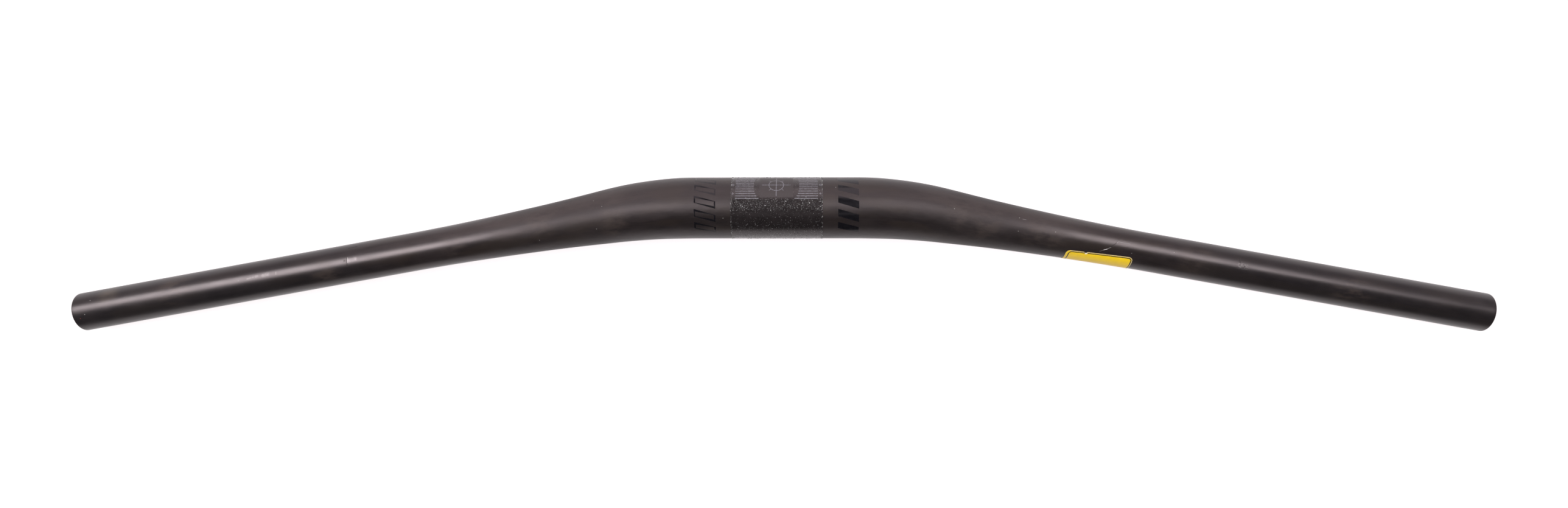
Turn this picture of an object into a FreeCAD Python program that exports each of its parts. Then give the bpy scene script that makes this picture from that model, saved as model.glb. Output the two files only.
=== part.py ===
import FreeCAD, Part
import math
import os

# Low-rise mountain bike handlebar, moulded as one hollow tube, with a thin
# adhesive film on one arm.  Millimetres, +Z up.
#
# Frame: the origin is the centre of the stem-clamp land and X runs along its
# axis.  The bar lies the way it comes to rest on a table: on the underside of
# the clamp land and on its two ends, with the sweep pointing along +Y.
# Turning it by REST_ANGLE + RIDE_ANGLE about X gives the usual riding angle,
# at which the sweep divides into BACK_SWEEP and UP_SWEEP.

# ---- driving dimensions ------------------------------------------------
CLAMP_D = 35.0          # stem-clamp land
CLAMP_HALF = 45.0       # straight length of the land each side of centre
GRIP_D = 22.2           # straight grip lengths
END_X = 408.0           # centre of each end, along the clamp axis
BACK_SWEEP = 9.0        # degrees, at the riding angle
UP_SWEEP = 5.0          # degrees, at the riding angle
CORNER_X = 70.0         # where the grip axis would meet the clamp axis
WALL_CLAMP = 2.6        # laminate at the clamp land
WALL_GRIP = 2.3         # laminate at the grips
RIM_ROUND = 0.5         # outer edge of the cut ends
BORE_BREAK = 0.3        # inner edge of the cut ends

# outside diameter at distances along the centreline from the clamp centre
TAPER = [
    (45.0, 35.00), (55.0, 34.92), (67.0, 34.20), (80.0, 33.10),
    (95.0, 31.35), (110.0, 29.25), (125.0, 27.35), (140.0, 25.85),
    (155.0, 24.60), (170.0, 23.60), (185.0, 22.82), (200.0, 22.36),
    (214.0, 22.20),
]

# adhesive film on the -X arm
FILM_S = 185.9          # distance of its middle from the clamp centre
FILM_PHI = 12.0         # its middle, degrees up from the sweep plane
FILM_LENGTH = 37.8      # along the arm
FILM_WIDTH = 22.0       # round the arm
FILM_SKEW = 3.2         # applied a little crooked, degrees
FILM_CORNER = 1.7       # corner rounding, in the plane of the cut
FILM_THICK = 0.12
FILM_GAP = 0.01         # adhesive under the film

# ---- centreline --------------------------------------------------------
V = FreeCAD.Vector
SLOPE = math.hypot(math.tan(math.radians(BACK_SWEEP)),
                   math.tan(math.radians(UP_SWEEP)))
BEND = math.atan(SLOPE)
RIDE_ANGLE = math.degrees(math.atan2(math.tan(math.radians(UP_SWEEP)),
                                     math.tan(math.radians(BACK_SWEEP))))
END_Q = (END_X - CORNER_X) * SLOPE
REST_ANGLE = math.degrees(math.asin((CLAMP_D - GRIP_D) / 2.0 / END_Q))
TANGENT = CORNER_X - CLAMP_HALF
BEND_R = TANGENT / math.tan(BEND / 2.0)
ARC = BEND_R * BEND
S_GRIP = TAPER[-1][0]
S_END = CLAMP_HALF + ARC + (END_X - CORNER_X) / math.cos(BEND) - TANGENT

ANGLE = math.radians(REST_ANGLE)
SIDEWAYS = V(0, math.cos(ANGLE), -math.sin(ANGLE))   # sweep direction
NORMAL = V(0, math.sin(ANGLE), math.cos(ANGLE))      # out of the sweep plane


def station(s, side):
    """Centre, tangent and in-plane normal of the centreline at distance s."""
    a = min(max((s - CLAMP_HALF) / BEND_R, 0.0), BEND)
    run = max(s - CLAMP_HALF - ARC, 0.0)
    x = min(s, CLAMP_HALF) + BEND_R * math.sin(a) + run * math.cos(BEND)
    q = BEND_R * (1.0 - math.cos(a)) + run * math.sin(BEND)
    centre = V(side * x, 0, 0) + SIDEWAYS * q
    tangent = V(side * math.cos(a), 0, 0) + SIDEWAYS * math.sin(a)
    normal = V(-side * math.sin(a), 0, 0) + SIDEWAYS * math.cos(a)
    return centre, tangent, normal


def wall(s):
    t = min(max((s - CLAMP_HALF) / (S_GRIP - CLAMP_HALF), 0.0), 1.0)
    return WALL_CLAMP + (WALL_GRIP - WALL_CLAMP) * t * t * (3 - 2 * t)


# ---- surfaces ----------------------------------------------------------
ROOT2 = math.sqrt(0.5)
RING = [(1, 0, 1), (1, 1, ROOT2), (0, 1, 1), (-1, 1, ROOT2), (-1, 0, 1),
        (-1, -1, ROOT2), (0, -1, 1), (1, -1, ROOT2), (1, 0, 1)]


def placed(shape, centre, tangent, normal):
    """Move a shape built along Z so that Z is the tangent and X the normal."""
    other = tangent.cross(normal)
    m = FreeCAD.Matrix(normal.x, other.x, tangent.x, centre.x,
                       normal.y, other.y, tangent.y, centre.y,
                       normal.z, other.z, tangent.z, centre.z,
                       0, 0, 0, 1)
    shape.Placement = FreeCAD.Placement(m)
    return shape


def side_face(shape):
    for face in shape.Faces:
        if isinstance(face.Surface, Part.Cylinder):
            return face
    raise ValueError("no round face")


def cap(centre, tangent, normal, radius):
    edge = placed(Part.Wire([Part.makeCircle(radius)]), centre, tangent, normal)
    return Part.Face(edge)


def taper_face(side, radius_at):
    """Skin of one bend and taper: true circles, tangent to both straights."""
    params = [s for s, _ in TAPER]
    columns = []
    for a, b, _ in RING:
        points = []
        for s in params:
            c, t, n = station(s, side)
            r = radius_at(s)
            points.append(c + n * (a * r) + t.cross(n) * (b * r))
        t0 = station(params[0], side)[1]
        t1 = station(params[-1], side)[1]
        k0 = 1.0 - a * radius_at(params[0]) / BEND_R
        curve = Part.BSplineCurve()
        curve.interpolate(Points=points, Parameters=params,
                          InitialTangent=t0 * k0, FinalTangent=t1,
                          Scale=False)
        columns.append(curve)
    first = columns[0]
    surface = Part.BSplineSurface()
    surface.buildFromPolesMultsKnots(
        [c.getPoles() for c in columns],
        [3, 2, 2, 2, 3], first.getMultiplicities(),
        [0.0, 0.25, 0.5, 0.75, 1.0], first.getKnots(),
        False, False, 2, first.Degree,
        [[w] * first.NbPoles for _, _, w in RING])
    return surface.toShape()


def tube(offset_clamp, offset_grip, offset_at, reach):
    """Closed solid of the whole bar with its radius offset, ends at reach."""
    radius = {s: d / 2.0 for s, d in TAPER}
    faces = []
    centre, tangent, normal = station(-CLAMP_HALF, 1)
    r_clamp = CLAMP_D / 2.0 + offset_clamp
    land = Part.makeCylinder(r_clamp, 2 * CLAMP_HALF)
    faces.append(side_face(placed(land, V(-CLAMP_HALF, 0, 0), V(1, 0, 0),
                                  SIDEWAYS)))
    r_grip = GRIP_D / 2.0 + offset_grip
    for side in (1, -1):
        faces.append(taper_face(side, lambda s: radius[s] + offset_at(s)))
        c, t, n = station(S_GRIP, side)
        grip = Part.makeCylinder(r_grip, S_END - S_GRIP + reach)
        faces.append(side_face(placed(grip, c, t, n)))
        c, t, n = station(S_END, side)
        faces.append(cap(c + t * reach, t, n, r_grip))
    shell = Part.makeShell(faces)
    shell.sewShape()
    if not isinstance(shell, Part.Shell):
        shell = shell.Shells[0]
    solid = Part.Solid(shell)
    if solid.Volume < 0:
        solid.reverse()
    return solid


# ---- the bar -----------------------------------------------------------
outer = tube(0.0, 0.0, lambda s: 0.0, 0.0)
inner = tube(-WALL_CLAMP, -WALL_GRIP, lambda s: -wall(s), 6.0)
bar = outer.cut(inner)


def end_edges(shape, radius):
    found = []
    for edge in shape.Edges:
        if not isinstance(edge.Curve, Part.Circle):
            continue
        if abs(edge.Curve.Radius - radius) > 0.02:
            continue
        for side in (1, -1):
            c = station(S_END, side)[0]
            if edge.Curve.Center.distanceToPoint(c) < 0.05:
                found.append(edge)
    return found


bar = bar.makeFillet(RIM_ROUND, end_edges(bar, GRIP_D / 2.0))
bar = bar.makeChamfer(BORE_BREAK, end_edges(bar, GRIP_D / 2.0 - WALL_GRIP))
if bar.ShapeType != "Solid":
    bar = bar.Solids[0]

# ---- the film on the -X arm ---------------------------------------------
upper = tube(FILM_GAP + FILM_THICK, FILM_GAP + FILM_THICK,
             lambda s: FILM_GAP + FILM_THICK, 0.0)
lower = tube(FILM_GAP, FILM_GAP, lambda s: FILM_GAP, 0.0)

c, t, n = station(FILM_S, -1)
# up is the plane's normal on both arms
phi = math.radians(FILM_PHI)
out = n * math.cos(phi) + NORMAL * math.sin(phi)
across = NORMAL * math.cos(phi) - n * math.sin(phi)
skew = math.radians(FILM_SKEW)
along = t * math.cos(skew) + across * math.sin(skew)
across = across * math.cos(skew) - t * math.sin(skew)
r_film = 22.85 / 2.0
half_l = FILM_LENGTH / 2.0
half_w = r_film * math.sin(FILM_WIDTH / 2.0 / r_film)
k = FILM_CORNER


def corner(u, v):
    return c + along * u + across * v


edges = []
d = k * (1 - ROOT2)
for sx, sy in ((1, 1), (-1, 1), (-1, -1), (1, -1)):
    first = (half_l * sx, (half_w - k) * sy)
    last = ((half_l - k) * sx, half_w * sy)
    if sx * sy < 0:
        first, last = last, first
    mid = ((half_l - d) * sx, (half_w - d) * sy)
    edges.append(Part.Arc(corner(*first), corner(*mid),
                          corner(*last)).toShape())
loop = []
for i, edge in enumerate(edges):
    nxt = edges[(i + 1) % 4]
    loop.append(edge)
    loop.append(Part.LineSegment(edge.Vertexes[-1].Point,
                                 nxt.Vertexes[0].Point).toShape())
cutter = Part.Face(Part.Wire(loop)).extrude(out * 20.0)
film = upper.common(cutter).cut(lower)
if film.ShapeType != "Solid":
    film = film.Solids[0]

# ---- output ------------------------------------------------------------
os.makedirs("parts", exist_ok=True)
bar.exportStep("parts/handlebar.step")
film.exportStep("parts/blank_sticker.step")

print("bend radius %.2f  bend %.3f deg  rest angle %.3f  ride angle %.3f"
      % (BEND_R, math.degrees(BEND), REST_ANGLE, RIDE_ANGLE))
print("grip start s %.2f, end s %.3f" % (S_GRIP, S_END))
for name, shape in (("handlebar", bar), ("blank_sticker", film)):
    b = shape.BoundBox
    print("%s valid %s closed %s volume %.1f faces %d solids %d" % (
        name, shape.isValid(), shape.isClosed(), shape.Volume,
        len(shape.Faces), len(shape.Solids)))
    print("   x %.3f..%.3f y %.3f..%.3f z %.3f..%.3f" % (
        b.XMin, b.XMax, b.YMin, b.YMax, b.ZMin, b.ZMax))
for side in (1, -1):
    for s in (S_GRIP, (S_GRIP + S_END) / 2.0, S_END):
        c, t, n = station(s, side)
        print("side %d s %.3f centre (%.5f, %.5f, %.5f) axis (%.7f, %.7f, %.7f)"
              % (side, s, c.x, c.y, c.z, t.x, t.y, t.z))
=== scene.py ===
import math
import random

import bpy
import numpy as np
from mathutils import Matrix, Vector


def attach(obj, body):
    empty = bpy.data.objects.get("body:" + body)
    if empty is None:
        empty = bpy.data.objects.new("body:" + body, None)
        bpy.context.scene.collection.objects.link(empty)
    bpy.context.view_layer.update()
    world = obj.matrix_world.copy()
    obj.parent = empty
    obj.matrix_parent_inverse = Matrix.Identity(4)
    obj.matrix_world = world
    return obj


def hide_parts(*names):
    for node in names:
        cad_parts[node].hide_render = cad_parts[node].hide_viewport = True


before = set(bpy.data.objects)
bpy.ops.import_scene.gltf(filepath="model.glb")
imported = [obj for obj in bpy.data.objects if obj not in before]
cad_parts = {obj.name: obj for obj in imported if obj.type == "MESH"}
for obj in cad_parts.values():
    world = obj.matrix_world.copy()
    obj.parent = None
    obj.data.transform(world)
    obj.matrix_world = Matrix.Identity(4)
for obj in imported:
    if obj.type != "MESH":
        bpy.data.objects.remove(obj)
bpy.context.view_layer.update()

# ------------------------------------------------------------------------
# Shape of the bar, in millimetres: the same centreline and diameters as the
# solid it stands for.
# ------------------------------------------------------------------------
CLAMP_R, GRIP_R = 17.5, 11.1
CLAMP_HALF, CORNER_X, END_X = 45.0, 70.0, 408.0
BACK, UP = math.radians(9.0), math.radians(5.0)
WALL_CLAMP, WALL_GRIP = 2.6, 2.3
RIM_ROUND, BORE_BREAK = 0.5, 0.3
TAPER = np.array([
    (45.0, 35.00), (55.0, 34.92), (67.0, 34.20), (80.0, 33.10),
    (95.0, 31.35), (110.0, 29.25), (125.0, 27.35), (140.0, 25.85),
    (155.0, 24.60), (170.0, 23.60), (185.0, 22.82), (200.0, 22.36),
    (214.0, 22.20)])
SLOPE = math.hypot(math.tan(BACK), math.tan(UP))
BEND = math.atan(SLOPE)
REST = math.asin((CLAMP_R - GRIP_R) / ((END_X - CORNER_X) * SLOPE))
TANGENT = CORNER_X - CLAMP_HALF
BEND_R = TANGENT / math.tan(BEND / 2)
ARC = BEND_R * BEND
S_GRIP = 214.0
S_END = CLAMP_HALF + ARC + (END_X - CORNER_X) / math.cos(BEND) - TANGENT
SWEEP = np.array([0.0, math.cos(REST), -math.sin(REST)])
NORMAL = np.array([0.0, math.sin(REST), math.cos(REST)])
XAXIS = np.array([1.0, 0.0, 0.0])


def clamped_spline(x, y):
    """Second derivatives of the smooth curve with level ends."""
    n = len(x)
    a, rhs = np.zeros((n, n)), np.zeros(n)
    h = np.diff(x)
    a[0, 0], a[0, 1] = 2 * h[0], h[0]
    rhs[0] = 6 * (y[1] - y[0]) / h[0]
    a[-1, -1], a[-1, -2] = 2 * h[-1], h[-1]
    rhs[-1] = -6 * (y[-1] - y[-2]) / h[-1]
    for i in range(1, n - 1):
        a[i, i - 1], a[i, i], a[i, i + 1] = h[i - 1], 2 * (h[i - 1] + h[i]), h[i]
        rhs[i] = 6 * ((y[i + 1] - y[i]) / h[i] - (y[i] - y[i - 1]) / h[i - 1])
    return np.linalg.solve(a, rhs)


TX, TY = TAPER[:, 0], TAPER[:, 1] / 2
TM = clamped_spline(TX, TY)


def radius(s):
    s = np.clip(np.abs(np.asarray(s, float)), TX[0], TX[-1])
    i = np.clip(np.searchsorted(TX, s) - 1, 0, len(TX) - 2)
    h = TX[i + 1] - TX[i]
    a, b = (TX[i + 1] - s) / h, (s - TX[i]) / h
    return (a * TY[i] + b * TY[i + 1]
            + ((a ** 3 - a) * TM[i] + (b ** 3 - b) * TM[i + 1]) * h * h / 6)


def wall(s):
    t = np.clip((np.abs(s) - CLAMP_HALF) / (S_GRIP - CLAMP_HALF), 0, 1)
    return WALL_CLAMP + (WALL_GRIP - WALL_CLAMP) * t * t * (3 - 2 * t)


def line(s):
    """Centre and in-plane normal at signed distance s along the bar."""
    s = np.asarray(s, float)
    side, d = np.where(s < 0, -1.0, 1.0), np.abs(s)
    a = np.clip((d - CLAMP_HALF) / BEND_R, 0, BEND)
    run = np.maximum(d - CLAMP_HALF - ARC, 0)
    x = np.minimum(d, CLAMP_HALF) + BEND_R * np.sin(a) + run * math.cos(BEND)
    q = BEND_R * (1 - np.cos(a)) + run * math.sin(BEND)
    centre = (side * x)[..., None] * XAXIS + q[..., None] * SWEEP
    normal = (-side * np.sin(a))[..., None] * XAXIS + np.cos(a)[..., None] * SWEEP
    return centre, normal


def on_bar(s, phi, lift=0.0):
    """Point at distance s, phi radians up from the sweep side, lifted off the skin."""
    centre, n = line(s)
    r = radius(s) + lift
    phi = np.asarray(phi, float)
    return centre + (r * np.cos(phi))[..., None] * n + (r * np.sin(phi))[..., None] * NORMAL


# ------------------------------------------------------------------------
# Mesh helpers
# ------------------------------------------------------------------------
def make_mesh(name, points_mm, faces, smooth=True):
    me = bpy.data.meshes.new(name)
    me.from_pydata((np.asarray(points_mm) * 0.001).tolist(), [], faces)
    me.validate()
    me.update()
    if smooth:
        me.polygons.foreach_set("use_smooth", [True] * len(me.polygons))
    ob = bpy.data.objects.new(name, me)
    bpy.context.scene.collection.objects.link(ob)
    return ob


def add_vectors(ob, name, values):
    at = ob.data.attributes.new(name, "FLOAT_VECTOR", "POINT")
    at.data.foreach_set("vector", np.asarray(values, np.float32).ravel())


def add_floats(ob, name, values):
    at = ob.data.attributes.new(name, "FLOAT", "POINT")
    at.data.foreach_set("value", np.asarray(values, np.float32).ravel())


class Skin:
    """Thin closed pads that follow the bar's skin, gathered in one mesh."""

    def __init__(self):
        self.points, self.faces, self.local = [], [], []

    def pad(self, s, phi, top, bottom, loop=False, local=None):
        """s and phi are grids; loop closes the first axis."""
        s, phi = np.asarray(s, float), np.asarray(phi, float)
        nu, nv = s.shape
        base = len(self.points)
        up = on_bar(s, phi, top).reshape(-1, 3)
        low = on_bar(s, phi, bottom).reshape(-1, 3)
        self.points.extend(up.tolist())
        self.points.extend(low.tolist())
        if local is None:
            local = np.stack([s, phi * radius(s), np.zeros_like(s)], -1)
        both = np.asarray(local, float).reshape(-1, 3)
        self.local.extend(both.tolist())
        self.local.extend(both.tolist())
        k = nu * nv

        def ids(i, j, layer):
            return base + layer * k + (i % nu) * nv + j

        # outward is +NORMAL side for s rising and phi rising
        flip = self._flip(s, phi)

        def quad(a, b, c, d):
            self.faces.append((a, b, c, d) if not flip else (d, c, b, a))

        last = nu if loop else nu - 1
        for i in range(last):
            for j in range(nv - 1):
                quad(ids(i, j, 0), ids(i + 1, j, 0), ids(i + 1, j + 1, 0), ids(i, j + 1, 0))
                quad(ids(i, j, 1), ids(i, j + 1, 1), ids(i + 1, j + 1, 1), ids(i + 1, j, 1))
            quad(ids(i, 0, 0), ids(i, 0, 1), ids(i + 1, 0, 1), ids(i + 1, 0, 0))
            j = nv - 1
            quad(ids(i, j, 0), ids(i + 1, j, 0), ids(i + 1, j, 1), ids(i, j, 1))
        if not loop:
            for j in range(nv - 1):
                quad(ids(0, j, 0), ids(0, j + 1, 0), ids(0, j + 1, 1), ids(0, j, 1))
                i = nu - 1
                quad(ids(i, j, 0), ids(i, j, 1), ids(i, j + 1, 1), ids(i, j + 1, 0))

    @staticmethod
    def _flip(s, phi):
        ds = s[1, 0] - s[0, 0], s[0, 1] - s[0, 0]
        dp = phi[1, 0] - phi[0, 0], phi[0, 1] - phi[0, 0]
        # right-handed (s, phi) gives an inward normal on this bar
        return ds[0] * dp[1] - ds[1] * dp[0] > 0

    def stroke(self, pts, width, top, bottom, step=0.6):
        """A printed line through (s, arc) points in millimetres at the clamp."""
        pts = np.asarray(pts, float)
        for a, b in zip(pts[:-1], pts[1:]):
            d = b - a
            ln = math.hypot(*d)
            t = d / ln
            n = np.array([-t[1], t[0]]) * width / 2
            m = max(2, int(ln / step) + 1)
            u = np.linspace(0, 1, m)[:, None]
            mid = a + u * d
            grid = np.stack([mid - n, mid + n], 1)
            self.pad(grid[..., 0], grid[..., 1] / CLAMP_R, top, bottom)

    def ring(self, centre, r, width, top, bottom, m=72):
        u = np.linspace(0, 2 * math.pi, m, endpoint=False)
        g = np.stack([np.stack([centre[0] + q * np.cos(u), centre[1] + q * np.sin(u)], -1)
                      for q in (r - width / 2, r + width / 2)], 1)
        self.pad(g[..., 0], g[..., 1] / CLAMP_R, top, bottom, loop=True)

    def build(self, name):
        ob = make_mesh(name, self.points, self.faces)
        add_vectors(ob, "local", self.local)
        ob.data.set_sharp_from_angle(angle=math.radians(50))
        return ob


# ------------------------------------------------------------------------
# Material helpers
# ------------------------------------------------------------------------
class Nodes:
    def __init__(self, name):
        self.mat = bpy.data.materials.new(name)
        self.mat.use_nodes = True
        self.tree = self.mat.node_tree
        self.tree.nodes.clear()
        self.out = self.tree.nodes.new("ShaderNodeOutputMaterial")
        self.bsdf = self.tree.nodes.new("ShaderNodeBsdfPrincipled")
        self.link(self.bsdf.outputs[0], self.out.inputs[0])

    def link(self, a, b):
        self.tree.links.new(a, b)

    def put(self, socket, value):
        if isinstance(value, bpy.types.NodeSocket):
            self.link(value, socket)
        else:
            socket.default_value = value

    def node(self, kind, **props):
        n = self.tree.nodes.new(kind)
        for k, v in props.items():
            setattr(n, k, v)
        return n

    def math(self, op, a, b=0.0, c=0.0, clamp=False):
        n = self.node("ShaderNodeMath", operation=op, use_clamp=clamp)
        self.put(n.inputs[0], a)
        self.put(n.inputs[1], b)
        self.put(n.inputs[2], c)
        return n.outputs[0]

    def ramp(self, x, lo, hi, out_lo=0.0, out_hi=1.0, smooth=True):
        n = self.node("ShaderNodeMapRange", clamp=True,
                      interpolation_type="SMOOTHSTEP" if smooth else "LINEAR")
        self.put(n.inputs["Value"], x)
        n.inputs["From Min"].default_value = lo
        n.inputs["From Max"].default_value = hi
        n.inputs["To Min"].default_value = out_lo
        n.inputs["To Max"].default_value = out_hi
        return n.outputs[0]

    def mix(self, f, a, b):
        n = self.node("ShaderNodeMix", data_type="RGBA")
        self.put(n.inputs[0], f)
        self.put(n.inputs[6], a)
        self.put(n.inputs[7], b)
        return n.outputs[2]

    def blend(self, f, a, b):
        n = self.node("ShaderNodeMix", data_type="FLOAT")
        self.put(n.inputs[0], f)
        self.put(n.inputs[2], a)
        self.put(n.inputs[3], b)
        return n.outputs[0]

    def attribute(self, name):
        return self.node("ShaderNodeAttribute", attribute_type="GEOMETRY",
                         attribute_name=name)

    def split(self, vector):
        n = self.node("ShaderNodeSeparateXYZ")
        self.put(n.inputs[0], vector)
        return n.outputs[0], n.outputs[1], n.outputs[2]

    def join(self, x, y, z):
        n = self.node("ShaderNodeCombineXYZ")
        for sock, v in zip(n.inputs, (x, y, z)):
            self.put(sock, v)
        return n.outputs[0]

    def scaled(self, vector, x, y, z):
        n = self.node("ShaderNodeVectorMath", operation="MULTIPLY")
        self.put(n.inputs[0], vector)
        n.inputs[1].default_value = (x, y, z)
        return n.outputs[0]

    def noise(self, vector, scale, detail=2.0, rough=0.5):
        n = self.node("ShaderNodeTexNoise")
        self.put(n.inputs["Vector"], vector)
        n.inputs["Scale"].default_value = scale
        n.inputs["Detail"].default_value = detail
        n.inputs["Roughness"].default_value = rough
        return n.outputs[0]

    def voronoi(self, vector, scale, feature="F1", random=1.0):
        n = self.node("ShaderNodeTexVoronoi", feature=feature)
        self.put(n.inputs["Vector"], vector)
        n.inputs["Scale"].default_value = scale
        n.inputs["Randomness"].default_value = random
        return n

    def vec(self, op, a, b=None, scale=None, out=0):
        n = self.node("ShaderNodeVectorMath", operation=op)
        self.put(n.inputs[0], a)
        if b is not None:
            self.put(n.inputs[1], b)
        if scale is not None:
            self.put(n.inputs["Scale"], scale)
        return n.outputs[out]

    def apart(self, p, a, b=None):
        """Distance of p from a point, or from the line between two points."""
        rel = self.vec("SUBTRACT", p, (a[0], a[1], 0.0))
        if b is None:
            return self.vec("LENGTH", rel, out=1)
        e = (b[0] - a[0], b[1] - a[1], 0.0)
        t = self.math("MULTIPLY", self.vec("DOT_PRODUCT", rel, e, out=1),
                      1.0 / (e[0] ** 2 + e[1] ** 2), clamp=True)
        return self.vec("DISTANCE", rel, self.vec("SCALE", e, scale=t), out=1)

    def trace(self, p, pts, half, soft):
        """Mask of a drawn line through pts, 1 on the line."""
        d = None
        for a, b in zip(pts[:-1], pts[1:]):
            q = self.apart(p, a, b)
            d = q if d is None else self.math("MINIMUM", d, q)
        return self.ramp(d, half - soft, half + soft, 1.0, 0.0)

    def dots(self, p, spots, soft=0.08):
        """Mask of small round spots given as (s, arc, radius)."""
        m = None
        for x, y, r in spots:
            q = self.ramp(self.apart(p, (x, y)), r - soft, r + soft, 1.0, 0.0)
            m = q if m is None else self.math("MAXIMUM", m, q)
        return m

    def box(self, x, y, x0, x1, y0, y1, soft):
        m = self.math("MULTIPLY", self.ramp(x, x0 - soft, x0 + soft), self.ramp(x, x1 - soft, x1 + soft, 1.0, 0.0))
        n = self.math("MULTIPLY", self.ramp(y, y0 - soft, y0 + soft), self.ramp(y, y1 - soft, y1 + soft, 1.0, 0.0))
        return self.math("MULTIPLY", m, n)

    def bump(self, height, strength, distance, normal=None):
        n = self.node("ShaderNodeBump")
        self.put(n.inputs["Strength"], strength)
        n.inputs["Distance"].default_value = distance
        self.put(n.inputs["Height"], height)
        if normal is not None:
            self.link(normal, n.inputs["Normal"])
        return n.outputs[0]


# ------------------------------------------------------------------------
# The bar: one closed tube, outside and inside, with its cut ends
# ------------------------------------------------------------------------
SEG = 144
PHI = np.linspace(0, 2 * math.pi, SEG, endpoint=False) - math.pi / 2


def bar_profile():
    """Closed list of (s, radius, kind) rings from one end out, through, and back inside."""
    arm = np.concatenate([np.arange(0, 45, 3.0), np.arange(45, 214, 1.8),
                          np.arange(214, S_END - 4, 8.0), [S_END - 2.0]])
    outer = np.concatenate([-arm[:0:-1], arm])
    rings = [(s, float(radius(s)), 0) for s in outer]
    fillet = [(S_END - RIM_ROUND + RIM_ROUND * math.sin(a),
               GRIP_R - RIM_ROUND + RIM_ROUND * math.cos(a), 0)
              for a in np.linspace(0, math.pi / 2, 7)]
    face = [(S_END, r, 1) for r in (10.2, 9.9, 9.6, 9.3)]
    brk = [(S_END, GRIP_R - WALL_GRIP + BORE_BREAK, 1), (S_END - BORE_BREAK, GRIP_R - WALL_GRIP, 2)]
    right = fillet + face + brk
    inner_arm = np.concatenate([np.arange(0, 45, 9.0), np.arange(45, 214, 5.0),
                                np.arange(214, S_END - 8, 24.0), [S_END - 4.0]])
    inner = np.concatenate([inner_arm[::-1], -inner_arm[1:]])
    inside = [(s, float(radius(s) - wall(s)), 2) for s in inner]
    left = [(-s, r, k) for s, r, k in right[::-1]]
    return rings + right + inside + left


rings = bar_profile()
RS = np.array([r[0] for r in rings])
RR = np.array([r[1] for r in rings])
centre, normal = line(RS)
pts = (centre[:, None, :]
       + (RR[:, None] * np.cos(PHI))[..., None] * normal[:, None, :]
       + (RR[:, None] * np.sin(PHI))[..., None] * NORMAL)
straight = np.stack([np.repeat(RS[:, None], SEG, 1), RR[:, None] * np.cos(PHI),
                     RR[:, None] * np.sin(PHI)], -1)
faces, kinds = [], []
nr = len(rings)
for i in range(nr):
    k = (i + 1) % nr
    kind = max(rings[i][2], rings[k][2]) if rings[i][2] != rings[k][2] else rings[i][2]
    if {rings[i][2], rings[k][2]} == {0, 1}:
        kind = 1
    for j in range(SEG):
        m = (j + 1) % SEG
        faces.append((i * SEG + j, i * SEG + m, k * SEG + m, k * SEG + j))
        kinds.append(kind)
bar = make_mesh("bar_tube", pts.reshape(-1, 3), faces)
add_vectors(bar, "straight", straight.reshape(-1, 3))
add_vectors(bar, "along", np.repeat(np.cross(normal, NORMAL)[:, None, :], SEG, 1).reshape(-1, 3))
import bmesh
bm = bmesh.new()
bm.from_mesh(bar.data)
bmesh.ops.recalc_face_normals(bm, faces=bm.faces)
bm.to_mesh(bar.data)
bm.free()
bar.data.set_sharp_from_angle(angle=math.radians(35))

# ------------------------------------------------------------------------
# Carbon skin
# ------------------------------------------------------------------------
ARC_R = 11.2                          # radius used to lay marks out on the arms


def at(s, deg):
    return (s, math.radians(deg) * ARC_R)


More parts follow.
